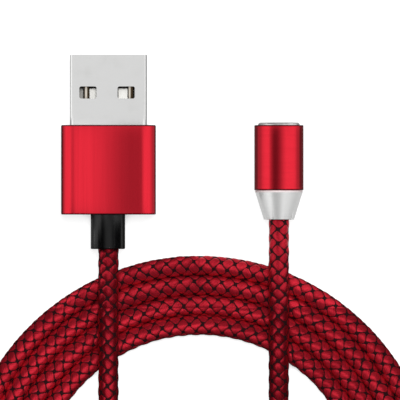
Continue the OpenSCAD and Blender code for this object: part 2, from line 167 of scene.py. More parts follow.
plug_end = along[np.linalg.norm(cord_line - coil_in, axis=1).argmin()]
tip_start = along[np.linalg.norm(cord_line - coil_out, axis=1).argmin()]
spans = [plug_end, tip_start - plug_end, cord_length - tip_start]
weaves = [tail_weave, coil_weave, tail_weave]
ring_spans = [round(span / weave * ring_count) for span, weave in zip(spans, weaves)]
ring_marks = np.cumsum([0, *ring_spans])
ring_gap = coil_weave / ring_count
first_ring, ring_total = -1, int(ring_marks[-1]) + 2
rings = np.arange(first_ring, ring_total)
ring_at = np.interp(
    rings,
    [first_ring, *ring_marks[1:3], ring_total - 1],
    [-ring_gap, plug_end, tip_start, cord_length + ring_gap],
)


def line_at(distance):
    """Points of the cord's centre line, and past its ends on straight lines."""
    inside = np.clip(distance, 0, cord_length)
    at = np.stack([np.interp(inside, along, cord_line[:, k]) for k in range(3)], axis=1)
    at[:, 1] += np.where(distance < 0, -distance, 0)
    at[:, 1] += np.where(distance > cord_length, distance - cord_length, 0)
    return at


ring_centre = line_at(ring_at)
heading = line_at(ring_at + ring_gap) - line_at(ring_at - ring_gap)
heading /= np.linalg.norm(heading, axis=1)[:, None]
sideways = np.cross(heading, (0, 0, 1))
sideways /= np.linalg.norm(sideways, axis=1)[:, None]
upwards = np.cross(sideways, heading)
yarn_seed, spare_weaves = 7, 8
chance = np.random.RandomState(yarn_seed)
wander_phase = chance.uniform(0, 2 * math.pi, (2 * yarns_each_way, 3))
wander_length = np.array([0.011, 0.019, 0.031])
wander_turn = math.radians(1.3)
stray_up, stray_wide, stray_thick = 0.000012, 0.00003, 0.06
weave_total = ring_total // ring_count + spare_weaves
yarn_jitter = chance.normal(0, 1, (2 * yarns_each_way, weave_total, 3))
shade_pick = chance.randint(0, shades * shades, yarn_jitter.shape[:2])


def take(made):
    """Makes a piece the only one that operators act on."""
    bpy.ops.object.select_all(action="DESELECT")
    made.select_set(True)
    bpy.context.view_layer.objects.active = made


def tube(base, count, sides, mirrored=False):
    """The faces round a tube whose rings of points start at base, and its two caps."""
    k, p = np.meshgrid(np.arange(count - 1), np.arange(sides), indexing="ij")
    a = base + k * sides + p
    b = base + k * sides + (p + 1) % sides
    quads = np.stack([a, b, b + sides, a + sides], axis=-1).reshape(-1, 4)
    first = base + np.arange(sides)
    last = first + (count - 1) * sides
    if mirrored:
        return np.roll(quads[:, ::-1], 1, axis=1), [first.tolist(), last[::-1].tolist()]
    return quads, [first[::-1].tolist(), last.tolist()]


def braid(name, start, end, material_list):
    """The braid over the rings from start to end, with the black jacket inside it."""
    pick = slice(start - first_ring, end - first_ring + 1)
    at, centre = ring_at[pick], ring_centre[pick]
    along_t, side, up = heading[pick], sideways[pick], upwards[pick]
    index = rings[pick]
    count, sides = len(at), len(section_angles)
    column_turn = np.radians(np.interp(at, turn_at, turn_degrees))
    slope = 2 * math.pi / (np.gradient(at) * ring_count * yarns_each_way)
    points, faces, caps, maps = [], [], [], []
    for yarn in range(2 * yarns_each_way):
        way = 1 if yarn < yarns_each_way else -1
        slot = yarn % yarns_each_way
        local = index + (ring_count // 2 if way > 0 else 0)
        period = np.floor_divide(local, ring_count)
        phase = 2 * math.pi * (local % ring_count) / ring_count
        lift = -np.cos(phase)
        jitter = yarn_jitter[yarn][period]
        wander = sum(
            np.sin(2 * math.pi * at / wander_length[k] + wander_phase[yarn, k])
            for k in range(3)
        )
        turn = (
            way * 2 * math.pi * index / (ring_count * yarns_each_way)
            + 2 * math.pi * slot / yarns_each_way
            + column_turn
            + wander_turn * wander / 3
        )
        full = np.clip(lift, 0, 1)
        wave = np.where(lift > 0, wave_up, -wave_down) * np.abs(lift) ** wave_square
        middle = yarn_mid_r + wave + stray_up * jitter[:, 0] * full
        wide = yarn_width + yarn_spread * lift + stray_wide * jitter[:, 1] * full
        thick = yarn_thick * (1 + stray_thick * jitter[:, 2] * full)
        slant = np.arctan(middle * slope)
        x = section_x[None, :] * wide[:, None] / 2
        y = section_y[None, :] * thick[:, None] / 2
        angle = turn[:, None] + x * np.cos(slant)[:, None] / middle[:, None]
        outward = (
            np.cos(angle)[..., None] * side[:, None, :]
            + np.sin(angle)[..., None] * up[:, None, :]
        )
        ring = (
            centre[:, None, :]
            - (way * x * np.sin(slant)[:, None])[..., None] * along_t[:, None, :]
            + (middle[:, None] + y)[..., None] * outward
        )
        quads, ends = tube(len(points) * count * sides, count, sides)
        points.append(ring.reshape(-1, 3))
        faces.append(quads)
        caps += ends
        u, v, v_next, shade = np.broadcast_arrays(
            (local[:-1] % ring_count)[:, None] / ring_count,
            section_v[:-1], section_v[1:], shade_pick[yarn][period[:-1]][:, None],
        )
        step_u = 1 / ring_count
        cells = np.stack([
            np.stack([u, v], -1), np.stack([u, v_next], -1),
            np.stack([u + step_u, v_next], -1), np.stack([u + step_u, v], -1),
        ], axis=2)
        cell = np.stack([shade % shades, shade // shades], -1)
        maps.append(((cells + cell[:, :, None, :]) / shades).reshape(-1, 2))
    yarn_points, yarn_corners = np.concatenate(points), np.concatenate(maps)
    core_turn = 2 * math.pi * np.arange(core_sides) / core_sides
    core = centre[:, None, :] + core_r * (
        np.cos(core_turn)[None, :, None] * side[:, None, :]
        + np.sin(core_turn)[None, :, None] * up[:, None, :]
    )
    yarn_faces = sum(len(quads) for quads in faces)
    # the core's points go round the other way, so its faces are mirrored to face outwards
    quads, ends = tube(len(yarn_points), count, core_sides, mirrored=True)
    mesh = bpy.data.meshes.new(name)
    mesh.from_pydata(
        np.concatenate([yarn_points, core.reshape(-1, 3)]), [],
        np.concatenate([*faces, quads]).tolist() + caps + ends,
    )
    corners = np.full((len(mesh.loops), 2), map_corner, np.float32)
    corners[:len(yarn_corners)] = yarn_corners
    mesh.uv_layers.new(name="OFBake").data.foreach_set("uv", corners.ravel())
    for material in material_list:
        mesh.materials.append(material)
    past_yarns = np.arange(len(mesh.polygons)) >= yarn_faces
    mesh.polygons.foreach_set("material_index", past_yarns.astype(int))
    mesh.update()
    made = bpy.data.objects.new(name, mesh)
    bpy.context.scene.collection.objects.link(made)
    take(made)
    bpy.ops.object.shade_smooth_by_angle(angle=smooth_under)
    return made


class Socket:
    """A socket of a shader's nodes that finishes reckon with as with a number."""

    def __init__(self, tree, socket):
        self.tree, self.socket = tree, socket

    def node(self, kind, settings=None, sockets=None, output=0):
        """Adds a node, sets it up, and gives its output."""
        made = self.tree.nodes.new("ShaderNode" + kind)
        for name, value in (settings or {}).items():
            if name == "stops":
                stops = made.color_ramp.elements
                while len(stops) < len(value):
                    stops.new(0.5)
                for stop, (position, colour) in zip(stops, value):
                    stop.position, stop.color = position, (*colour, 1)
            else:
                setattr(made, name, value)
        self.feed(made, sockets or {})
        return Socket(self.tree, made.outputs[output])

    def feed(self, node, sockets):
        """Links or sets the sockets of a node."""
        for name, value in sockets.items():
            if isinstance(value, Socket):
                self.tree.links.new(value.socket, node.inputs[name])
            else:
                node.inputs[name].default_value = value

    def maths(self, operation, *values):
        return self.node("Math", {"operation": operation}, dict(enumerate(values)))

    def __add__(self, other):
        return self.maths("ADD", self, other)

    def __sub__(self, other):
        return self.maths("SUBTRACT", self, other)

    def __rsub__(self, other):
        return self.maths("SUBTRACT", other, self)

    def __mul__(self, other):
        return self.maths("MULTIPLY", self, other)

    def __abs__(self):
        return self.maths("ABSOLUTE", self)

    __radd__, __rmul__ = __add__, __mul__

    def along(self, axis):
        """One coordinate of a place."""
        return self.node("SeparateXYZ", sockets={0: self}, output="XYZ".index(axis))

    def rise(self, start, end):
        """0 below start, 1 above end, and smooth between them."""
        return self.node(
            "MapRange",
            {"interpolation_type": "SMOOTHSTEP"},
            {"Value": self, "From Min": start, "From Max": end},
        )


def finish(name, looks):
    """A material whose shader takes the values that looks gives for its sockets."""
    made = bpy.data.materials.new(name)
    made.use_nodes = True
    tree = made.node_tree
    place = Socket(tree, tree.nodes.new("ShaderNodeTexCoord").outputs["Object"])
    place.feed(tree.nodes["Principled BSDF"], looks(place))
    return made


def blend(place, share, first, second):
    """Colour first where share is 0 and second where it is 1."""
    return place.node("Mix", {"data_type": "RGBA"}, {0: share, 6: first, 7: second}, output=2)


def noise(place, scale, detail=3):
    """Cloudy noise, whose patches get smaller as its scale grows."""
    return place.node("TexNoise", sockets={"Vector": place, "Scale": scale, "Detail": detail})


def bumped(height, strength, depth=0.00001):
    """A surface's direction over bumps of this height."""
    return height.node(
        "Bump", sockets={"Strength": strength, "Distance": depth, "Height": height}
    )


yarn_bright = (0.89, 0.031, 0.058, 1)
yarn_deep = (0.37, 0.0095, 0.021, 1)
# A painted shade for the yarns' edges and for where they dip under the crossing yarns.
yarn_painted_shade = (0.08, 0.002, 0.005, 1)
# The free runs' yarn keeps this share of its tone, and the rest is painted shade, which makes it
# darker than the coil's.
tail_lit_share = 0.75
yarn_gloss, taut_gloss = 0.7, 0.86
filaments, strand_cells, strand_luck = 30, 3, 9
line_sway, line_drift = 5, 4
strand_share, line_share, luck_share = 0.7, 0.12, 0.25
# The last two bands place the painted shade at the yarn's edges and at the ends of its floats.
tone_band, rim_shade_band, dip_shade_band = (0.1, 0.85), (0.8, 1.0), (0.24, 0.34)


def nylon_yarn(place, share=1.0, gloss=yarn_gloss):
    """Flat red nylon yarn: silky filaments along it, and painted shade along its edges and where
    it dips under others.
    """
    cell = place.node("UVMap", {"uv_map": "OFBake"})
    big = place.node("VectorMath", {"operation": "SCALE"}, {0: cell, "Scale": shades})
    whole = place.node("VectorMath", {"operation": "FLOOR"}, {0: big})
    part = place.node("VectorMath", {"operation": "FRACTION"}, {0: big})
    u, v = part.along("X"), part.along("Y")
    luck = place.node("TexWhiteNoise", {"noise_dimensions": "2D"}, {"Vector": whole})
    spot = place.node(
        "CombineXYZ", sockets={0: u * strand_cells + luck * strand_luck, 1: v * filaments}
    )
    strands = place.node(
        "TexNoise", {"noise_dimensions": "2D"}, {"Vector": spot, "Scale": 1, "Detail": 2}
    )
    wave = v * (filaments * 2 * math.pi) + strands * line_sway + u * line_drift
    grain = strands * strand_share + wave.maths("SINE", wave) * line_share
    shine = (grain + luck * luck_share).rise(*tone_band)
    tone = blend(place, shine, yarn_deep, yarn_bright)
    # A share below 1 mixes painted shade over the whole yarn.
    tone = blend(place, share, yarn_painted_shade, tone)
    # Painted shade: the yarn goes dark along its edges and towards the ends of each float, where
    # it dips under the crossing yarns.
    rim = (abs(v - yarn_top) * (1 / yarn_top)).rise(*rim_shade_band)
    low = abs(u - 0.5).rise(*dip_shade_band)
    return {
        "Base Color": blend(place, 1 - (1 - rim) * (1 - low), tone, yarn_painted_shade),
        "Roughness": 0.3 + 0.12 * strands,
        "Metallic": gloss,
        "Normal": bumped(grain, strength=0.25, depth=0.00002),
        "Specular IOR Level": 0.1,
    }


def shaded_tail_yarn(place):
    """The same yarn in the free runs, sleeker, and darker by painted shade mixed over it."""
    return nylon_yarn(place, tail_lit_share, taut_gloss)


def black_jacket(place):
    """The cable's black jacket under the yarns."""
    dust = noise(place, scale=4000, detail=2)
    return {
        "Base Color": blend(place, dust, (0.014, 0.003, 0.004, 1), (0.026, 0.008, 0.009, 1)),
        "Roughness": 0.6,
        "Specular IOR Level": 0.1,
    }


jacket = finish("braid_jacket", black_jacket)
coil_finishes = [finish("braid_yarn", nylon_yarn), jacket]
tail_finishes = [finish("braid_yarn_tail_shaded", shaded_tail_yarn), jacket]
coil_parts, path_step = 5, 6
coil_joints = [
    round(ring_marks[1] + ring_spans[1] * k / coil_parts) for k in range(coil_parts + 1)
]
cord_ends = [first_ring, *coil_joints, ring_total - 1]
cord_rows = [
    ("plug_tail_braid", "plug_tail"),
    *((f"coil_braid_{k + 1}", "cord_coil") for k in range(coil_parts)),
    ("tip_tail_braid", "tip_tail"),
]
for (name, node), start, end in zip(cord_rows, cord_ends, cord_ends[1:]):
    cord = braid(name, start, end, coil_finishes if node == "cord_coil" else tail_finishes)
    cord_path = ring_centre[start - first_ring:end - first_ring + 1:path_step]
    cord_path = np.concatenate([cord_path, ring_centre[end - first_ring][None]])
    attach(cord, "cable")
    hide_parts(node)
    cord_path[-1] if name == "tip_tail_braid" else cord_path[0]

# The plug's shell: a strip of nickel-plated steel, pressed, folded round to a flat tube
# and joined by a dovetail under the plug. Its four windows take the socket's springs,
# and the front frame and the moulded block hold its rear end in the housing.
plug_x, plug_z = -0.011575, 0.0039
mouth_y, shell_rear = 0.0152, -0.0033
shell_w, shell_t, shell_wall, shell_corner = 0.012, 0.0045, 0.0003, 0.00075
window_w, window_len, window_corner = 0.0027, 0.0019, 0.0003
window_off, window_shift, window_y = 0.00299, -0.0002, 0.00929
seam_w, seam_depth, shell_edge = 0.00006, 0.00012, 0.00005
seam_lines = [
    # the seam's pieces under the plug: from and to, across and along it
    (0, -0.003, 0, 0.0068), (0, 0.0067, 0.0009, 0.0067), (0.0009, 0.0066, 0.0009, 0.0086),
    (0, 0.0085, 0.0009, 0.0085), (0, 0.0084, 0, 0.0152),
]
soften_over, flat_over = math.radians(38), math.radians(50)
nickel = (0.93, 0.93, 0.925, 1)
nickel_worn = (0.87, 0.87, 0.86, 1)
# A painted shade for the tube's inner faces.
shell_inside_shade = (0.1, 0.095, 0.09, 1)


def pick(made, faces=None, edges=None):
    """In edit mode, selects only the faces, or the edges, that pass a test."""
    bpy.ops.mesh.select_mode(type="FACE" if faces else "EDGE")
    bpy.ops.mesh.select_all(action="DESELECT")
    mesh = bmesh.from_edit_mesh(made.data)
    mesh.normal_update()
    for part in list(mesh.faces if faces else mesh.edges):
        if (faces or edges)(part):
            part.select_set(True)
    bmesh.update_edit_mesh(made.data)


def block(name, low, high, corner=0.0, segments=8, axis=1):
    """A block between two of its corners, with its edges along one axis rounded."""
    low, high = Vector(low), Vector(high)
    bpy.ops.object.select_all(action="DESELECT")
    bpy.ops.mesh.primitive_cube_add(size=1, location=(low + high) / 2, scale=high - low)
    made = bpy.context.object
    made.name = made.data.name = name
    bpy.ops.object.transform_apply(location=True, rotation=True, scale=True)
    if corner:
        bpy.ops.object.mode_set(mode="EDIT")
        pick(made, edges=lambda e: abs(e.verts[0].co[axis] - e.verts[1].co[axis]) > 1e-9)
        bpy.ops.mesh.bevel(offset=corner, segments=segments, affect="EDGES")
        bpy.ops.object.mode_set(mode="OBJECT")
    return made


def cut(made, cutter):
    """Cuts one shape out of a piece, and takes that shape away."""
    take(made)
    bpy.ops.object.modifier_add(type="BOOLEAN")
    knife = made.modifiers[-1]
    knife.operation, knife.solver, knife.object = "DIFFERENCE", "EXACT", cutter
    bpy.ops.object.modifier_apply(modifier=knife.name)
    bpy.data.objects.remove(cutter)


def ease(made, width, segments=2):
    """Rounds a piece's sharp edges, and shades it smooth with its flats kept flat."""
    take(made)
    bpy.ops.object.modifier_add(type="BEVEL")
    edge = made.modifiers[-1]
    edge.width, edge.segments = width, segments
    edge.limit_method, edge.angle_limit = "ANGLE", soften_over
    bpy.ops.object.modifier_apply(modifier=edge.name)
    bpy.ops.object.shade_smooth_by_angle(angle=flat_over)
    bpy.ops.object.modifier_add(type="WEIGHTED_NORMAL")
    made.modifiers[-1].keep_sharp = True
    bpy.ops.object.modifier_apply(modifier=made.modifiers[-1].name)


def dress(made, material, slot, *nodes, body="cable"):
    """Gives a piece its finish and its body, and hides the CAD nodes that it stands for."""
    made.data.materials.clear()
    made.data.materials.append(material)
    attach(made, body)
    if nodes:
        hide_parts(*nodes)


def stretched(place, scale, along_x=1, along_y=1, along_z=1, detail=3):
    """Noise drawn out along the axes whose factor is small."""
    pulled = place.node(
        "VectorMath", {"operation": "MULTIPLY"}, {0: place, 1: (along_x, along_y, along_z)}
    )
    return noise(pulled, scale, detail)


def plated_steel(place):
    """Bright nickel on rolled steel, with fine lines and dull patches, and painted shade on its
    inner faces.
    """
    rolled = stretched(place, 7000, along_y=0.02)
    dull = noise(place, scale=420, detail=4)
    # Where outside stays 0, on the tube's inner faces, the colour is painted shade.
    outside = 0.0
    for axis, middle, half in (("X", plug_x, shell_w / 2), ("Z", plug_z, shell_t / 2)):
        off = abs(place.along(axis) - middle)
        face = off.rise(half - 0.9 * shell_wall, half - 0.6 * shell_wall)
        outside = place.maths("MAXIMUM", outside, face)
    plate = blend(place, dull.rise(0.45, 0.95), nickel, nickel_worn)
    return {
        "Base Color": blend(place, outside, shell_inside_shade, plate),
        "Metallic": 1.0,
        "Roughness": 0.1 + 0.06 * rolled + 0.05 * dull,
        "Normal": bumped(rolled, strength=0.08),
    }


shell = block(
    "shell_tube",
    (plug_x - shell_w / 2, shell_rear, plug_z - shell_t / 2),
    (plug_x + shell_w / 2, mouth_y, plug_z + shell_t / 2),
    shell_corner,
)
bpy.ops.object.mode_set(mode="EDIT")
pick(shell, faces=lambda f: abs(f.normal.y) > 0.9)
bpy.ops.mesh.inset(thickness=shell_wall)
bpy.ops.mesh.bridge_edge_loops()
bpy.ops.mesh.select_all(action="SELECT")
bpy.ops.mesh.normals_make_consistent(inside=False)
bpy.ops.object.mode_set(mode="OBJECT")
for side in (-1, 1):
    middle = plug_x + window_shift + side * window_off
    cut(shell, block(
        "window_punch",
        (middle - window_w / 2, window_y - window_len / 2, plug_z - shell_t),
        (middle + window_w / 2, window_y + window_len / 2, plug_z + shell_t),
        window_corner, axis=2,
    ))
seam_z = plug_z - shell_t / 2
for x0, y0, x1, y1 in seam_lines:
    cut(shell, block(
        "seam_cut",
        (plug_x + x0 - seam_w / 2, y0 - seam_w / 2, seam_z - seam_depth),
        (plug_x + x1 + seam_w / 2, y1 + seam_w / 2, seam_z + seam_depth),
    ))
ease(shell, shell_edge)
dress(shell, finish("nickel_plate", plated_steel), "steel", "plug_shell")

# The insulator is moulded in white nylon: a tongue that lies against the shell's lower
# wall, and a block behind it that closes the socket. Four slots hold the contacts, and
# two pockets under the windows make room for the socket's springs.
nylon_white = (0.95, 0.94, 0.9, 1)
nylon_shade = (0.86, 0.84, 0.79, 1)
# A painted shade for the nylon deep in the pockets, and the heights over which it fades out.
nylon_pocket_shade = (0.02, 0.016, 0.012, 1)
pocket_shade_depth = (0.0028, 0.0038)
moulding_edge = 0.00004
pockets = [
    # from and to, across the plug and along it, and the floor's height
    ((0.00402, 0.00475), (0.0072, 0.0106), 0.0032),
    ((0.0012, 0.00475), (0.00994, 0.0106), 0.0029),
]
pocket_front = 0.0106


def eased_copy(name, node, width=0.0):
    """A copy of a CAD node with whole faces, and with softened edges if they get a width."""
    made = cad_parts[node].copy()
    made.data = made.data.copy()
    made.name = made.data.name = name
    bpy.context.scene.collection.objects.link(made)
    take(made)
    bpy.ops.object.mode_set(mode="EDIT")
    bpy.ops.mesh.select_all(action="SELECT")
    bpy.ops.mesh.remove_doubles(threshold=1e-6)
    bpy.ops.mesh.dissolve_limited(angle_limit=math.radians(1))
    bpy.ops.object.mode_set(mode="OBJECT")
    if width:
        ease(made, width, 3)
    return made


def white_nylon(place):
    """White nylon with faint flow marks and grain, and painted shade deep in the springs'
    pockets.
    """
    flow = stretched(place, 900, along_y=0.3)
    grain = noise(place, scale=16000, detail=2)
    tone = blend(place, flow.rise(0.35, 0.8), nylon_white, nylon_shade)
    # Painted shade: behind the pockets' front end the nylon goes dark below these heights.
    past = place.maths("GREATER_THAN", place.along("Y"), pocket_front)
    unshaded = place.maths("MAXIMUM", past, place.along("Z").rise(*pocket_shade_depth))
    return {
        "Base Color": blend(place, unshaded, nylon_pocket_shade, tone),
        "Roughness": 0.38 + 0.14 * grain,
        "Normal": bumped(grain, strength=0.15),
    }


insulator = eased_copy("tongue_and_block", "plug_insulator", moulding_edge)
for side in (-1, 1):
    for off, reach, pocket_floor in pockets:
        left, right = sorted(plug_x + side * edge for edge in off)
        cut(insulator, block(
            "latch_pocket",
            (left, reach[0], pocket_floor),
            (right, reach[1], plug_z + shell_t / 2),
        ))
dress(insulator, finish("white_nylon", white_nylon), "white_insulator", "plug_insulator")

# The four contacts are stamped from bronze strip and gold-plated. The press leaves
# their upper edges crowned. They lie in the tongue's slots, and their tails stand out
# behind the block for the wires.
contact_w, contact_t = 0.001, 0.00025
contact_top, contact_rear = 0.0039, -0.0023
contact_crown, strip_edge = 0.00024, 0.00002
crown_highlight_band = (0.0001, 0.00022)
crown_row, crown_shift = 0.0034, -0.00012
contact_rows = [
    # node, place across the plug, front end
    ("supply_contact", -0.0035, 0.0137), ("data_minus_contact", -0.001, 0.0127),
    ("data_plus_contact", 0.001, 0.0127), ("earth_contact", 0.0035, 0.0137),
]
gold_bright = (0.86, 0.63, 0.3, 1)
gold_pale = (0.84, 0.66, 0.42, 1)
# A painted highlight for the contacts' crowns and a painted shade for their flanks.
gold_crown_highlight = (1.0, 0.92, 0.8, 1)
gold_flank_shade = (0.1, 0.07, 0.04, 1)


def gold_plating(place):
    """Thin gold over nickel, with drawn lines and paler worn spots."""
    drawn = stretched(place, 9000, along_y=0.03)
    worn = noise(place, scale=700, detail=4)
    return {
        "Base Color": blend(place, worn.rise(0.4, 0.8), gold_bright, gold_pale),
        "Metallic": 1.0,
        "Roughness": 0.22 + 0.12 * drawn,
        "Normal": bumped(drawn, strength=0.1),
    }


def gold_strip(place):
    """The same gold on a strip, with a painted highlight on its crown and painted shade on its
    flanks.
    """
    looks = gold_plating(place)
    off = abs(place.along("X") - plug_x - crown_shift)
    near = off.maths("MINIMUM", abs(off - crown_row), abs(off - contact_rows[2][1]))
    # The crown is painted pale as a highlight, and the flanks dark as shade.
    looks["Base Color"] = blend(place, near.rise(*crown_highlight_band), gold_crown_highlight, gold_flank_shade)
    return looks


gold_plate = finish("gold_plate", gold_plating)
strip_gold = finish("strip_gold", gold_strip)
for node, across, front in contact_rows:
    strip = block(
        node.replace("_contact", "_strip"),
        (plug_x + across - contact_w / 2, contact_rear, contact_top - contact_t),
        (plug_x + across + contact_w / 2, front, contact_top),
    )
    bpy.ops.object.mode_set(mode="EDIT")
    pick(strip, edges=lambda e: all(v.co.z > contact_top - contact_t / 2 for v in e.verts)
         and abs(e.verts[0].co.y - e.verts[1].co.y) > contact_t)
    bpy.ops.mesh.bevel(offset=contact_crown, segments=5, affect="EDGES")
    bpy.ops.object.mode_set(mode="OBJECT")
    ease(strip, strip_edge)
    dress(strip, strip_gold, "gold_contact", node)

# The black front frame is moulded in nylon and pressed into the housing's open front,
# where it centres the shell. Behind it a cream hot-melt block fills the housing.
frame_tones = ((0.012, 0.012, 0.013, 1), (0.03, 0.03, 0.031, 1))
melt_tones = ((0.72, 0.66, 0.5, 1), (0.58, 0.5, 0.34, 1))
frame_edge = 0.00006


def mottled(
    name, tones, scale, detail=3, patches=None, rough=(0.3, 0.15), metallic=1.0, bump=None
):
    """A finish of two tones in cloudy patches, whose gloss and height vary with them."""

    def looks(place):
        cloud = noise(place, scale, detail)
        values = {
            "Base Color": blend(place, cloud.rise(*patches) if patches else cloud, *tones),
            "Metallic": metallic,
            "Roughness": rough[0] + rough[1] * cloud,
        }
        if bump:
            values["Normal"] = bumped(cloud, *bump)
        return values

    return finish(name, looks)


def coat(node, material):
    """Gives a CAD node its finish."""
    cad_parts[node].data.materials.clear()
    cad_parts[node].data.materials.append(material)


black_moulding = mottled(
    "black_nylon", frame_tones, scale=12000, detail=2, rough=(0.42, 0.16), metallic=0.0,
    bump=(0.3, 0.00001),
)
cream_moulding = mottled(
    "cream_melt", melt_tones, scale=600, detail=4, patches=(0.35, 0.75), rough=(0.5, 0.1),
    metallic=0.0, bump=(0.2, 0.00003),
)
front_frame = eased_copy("front_frame", "plug_front_frame", frame_edge)
dress(front_frame, black_moulding, "black_plastic", "plug_front_frame")
coat("plug_inner_mould", cream_moulding)

# The housing is drawn from aluminium tube, brushed along its length, anodised red, and
# closed by a rear wall with a hole for the strain relief. Its edges are broken.
housing_w, housing_t, housing_corner = 0.0148, 0.0078, 0.0023
housing_front, housing_rear = 0.0042, -0.0098
housing_wall, housing_back = 0.0008, 0.001
collar_hole_r, collar_off, drill_depth = 0.00275, -0.0001, 0.004
collar_x = plug_x + collar_off
housing_edge = 0.00014
anodised_red = (0.86, 0.028, 0.05, 1)
anodised_deep = (0.78, 0.023, 0.042, 1)
# A painted shade along the broken edges at both ends of the housing and the barrel.
anodised_edge_shade = (0.16, 0.006, 0.012, 1)
edge_shade_band = (0.00014, 0.00024)


def drill(made, radius, place):
    """Cuts a round hole along Y through a piece's wall."""
    bpy.ops.object.select_all(action="DESELECT")
    bpy.ops.mesh.primitive_cylinder_add(
        vertices=64, radius=radius, depth=drill_depth, location=place,
        rotation=(math.pi / 2, 0, 0),
    )
    cut(made, bpy.context.object)


housing = block(
    "housing_sleeve",
    (plug_x - housing_w / 2, housing_rear, plug_z - housing_t / 2),
    (plug_x + housing_w / 2, housing_front, plug_z + housing_t / 2),
    housing_corner, segments=16,
)
bpy.ops.object.mode_set(mode="EDIT")
pick(housing, faces=lambda f: f.normal.y > 0.9)
bpy.ops.mesh.inset(thickness=housing_wall)
bpy.ops.mesh.extrude_region_move(
    TRANSFORM_OT_translate={"value": (0, housing_rear + housing_back - housing_front, 0)}
)
bpy.ops.object.mode_set(mode="OBJECT")

drill(housing, collar_hole_r, (collar_x, housing_rear, plug_z))
ease(housing, housing_edge, 3)


def shaded_ends(place, tone, rear, front):
    """A tone with a painted shade along the broken edges at a sleeve's two ends."""
    at = place.along("Y")
    to_edge = place.maths("MINIMUM", front - at, at - rear)
    return blend(place, to_edge.rise(*edge_shade_band), anodised_edge_shade, tone)


def brushed_red(place):
    """Red anodised aluminium, brushed along Y, with slightly deeper and duller streaks."""
    brushed = stretched(place, 5200, along_y=0.012)
    broad = stretched(place, 900, along_y=0.05, detail=2)
    tone = blend(place, brushed.rise(0.3, 0.9), anodised_red, anodised_deep)
    return {
        "Base Color": shaded_ends(place, tone, housing_rear, housing_front),
        "Metallic": 1.0,
        "Roughness": 0.17 + 0.07 * brushed + 0.05 * broad,
        "Normal": bumped(brushed, strength=0.1),
    }


dress(housing, finish("anodised_brushed", brushed_red), "red_aluminium", "plug_housing")

# The strain relief is black thermoplastic rubber: a round collar that the cord leaves
# by, and a flange that the housing's rear wall holds in.
collar_r, collar_bore_r = 0.0027, 0.0016
collar_rear, flange_rear, flange_front = -0.0152, -0.00878, -0.00758
flange_w, flange_t, flange_corner = 0.0084, 0.0061, 0.00145
collar_edge, collar_lap = 0.00015, 0.0001
rubber_black = (0.0008, 0.0008, 0.0009, 1)
rubber_grey = (0.002, 0.002, 0.0022, 1)


def turned(name, outline, axis_x, axis_z, steps=96):
    """A round piece: its outline, as radius and place along Y, spun round its axis."""
    bpy.ops.object.select_all(action="DESELECT")
    bpy.ops.mesh.primitive_circle_add(vertices=len(outline), radius=outline[0][0])
    made = bpy.context.object
    made.name = made.data.name = name
    for point, (radius, y) in zip(made.data.vertices, outline):
        point.co = (axis_x + radius, y, axis_z)
    bpy.ops.object.mode_set(mode="EDIT")
    pick(made, edges=lambda e: all(abs(v.co.x - axis_x) < 1e-9 for v in e.verts))
    bpy.ops.mesh.delete(type="EDGE")
    bpy.ops.mesh.select_all(action="SELECT")
    bpy.ops.mesh.spin(
        steps=steps, angle=2 * math.pi, center=(axis_x, 0, axis_z), axis=(0, 1, 0)
    )
    bpy.ops.mesh.select_all(action="SELECT")
    bpy.ops.mesh.remove_doubles(threshold=1e-7)
    bpy.ops.mesh.normals_make_consistent(inside=False)
    bpy.ops.object.mode_set(mode="OBJECT")
    return made


def satin_rubber(place):
    """Black rubber: a satin skin with fine moulding grain and faint handling marks."""
    grain = noise(place, scale=9000)
    marks = noise(place, scale=500, detail=4)
    return {
        "Base Color": blend(place, marks.rise(0.4, 0.8), rubber_black, rubber_grey),
        "Roughness": 0.16 + 0.06 * grain + 0.06 * marks,
        "Normal": bumped(grain, strength=0.2),
    }


collar = turned(
    "strain_relief_collar",
    [(collar_bore_r, collar_rear), (collar_r, collar_rear),
     (collar_r, flange_rear + collar_lap), (collar_bore_r, flange_rear + collar_lap)],
    collar_x, plug_z,
)
ease(collar, collar_edge, 3)
rubber_finish = finish("black_rubber", satin_rubber)
dress(collar, rubber_finish, "black_rubber", "plug_strain_relief")
flange = block(
    "strain_relief_flange",
    (plug_x - flange_w / 2, flange_rear, plug_z - flange_t / 2),
    (plug_x + flange_w / 2, flange_front, plug_z + flange_t / 2),
    flange_corner,
)
drill(flange, collar_bore_r, (plug_x, flange_rear, plug_z))
ease(flange, collar_edge, 3)
dress(flange, rubber_finish, "black_rubber", "plug_strain_relief")

# Inside the plug a tinned steel ring is crimped on the cord, and the cord's two wires
# run on to the supply and earth contacts. The tip below has the same ring and wires.
crimp_tones = ((0.62, 0.62, 0.61, 1), (0.45, 0.45, 0.44, 1))
cover_tones = {"red": ((0.5, 0.012, 0.01, 1), (0.4, 0.008, 0.008, 1)),
               "black": ((0.012, 0.012, 0.013, 1), (0.025, 0.025, 0.026, 1))}

crimp_finish = mottled(
    "tinned_steel", crimp_tones, scale=2500, detail=4, patches=(0.4, 0.7), rough=(0.3, 0.2)
)
wire_finishes = {
    name: mottled(name + "_wire_cover", tones, scale=3000, metallic=0.0)
    for name, tones in cover_tones.items()
}
for end in ("plug", "tip"):
    coat(end + "_crimp_ring", crimp_finish)
    coat(end + "_cord_end", jacket)
    coat(end + "_supply_wire", wire_finishes["red"])
    coat(end + "_earth_wire", wire_finishes["black"])

# The tip's barrel is turned from aluminium and anodised red like the housing, with
# broken edges. Everything in the tip is pushed into it from the front.
tip_x, tip_z = 0.015125, 0.00385
barrel_r, barrel_bore_r = 0.00385, 0.0033
barrel_front, barrel_rear = 0.0042, -0.006
barrel_chamfer, barrel_edge = 0.00005, 0.00002


def lathe_marks(place, bright, deep):
    """Fine rings round a turned piece, and its colour in them."""
    rings_cut = stretched(place, 7000, along_x=0.03, along_z=0.03)
    return rings_cut, blend(place, rings_cut.rise(0.3, 0.9), bright, deep)


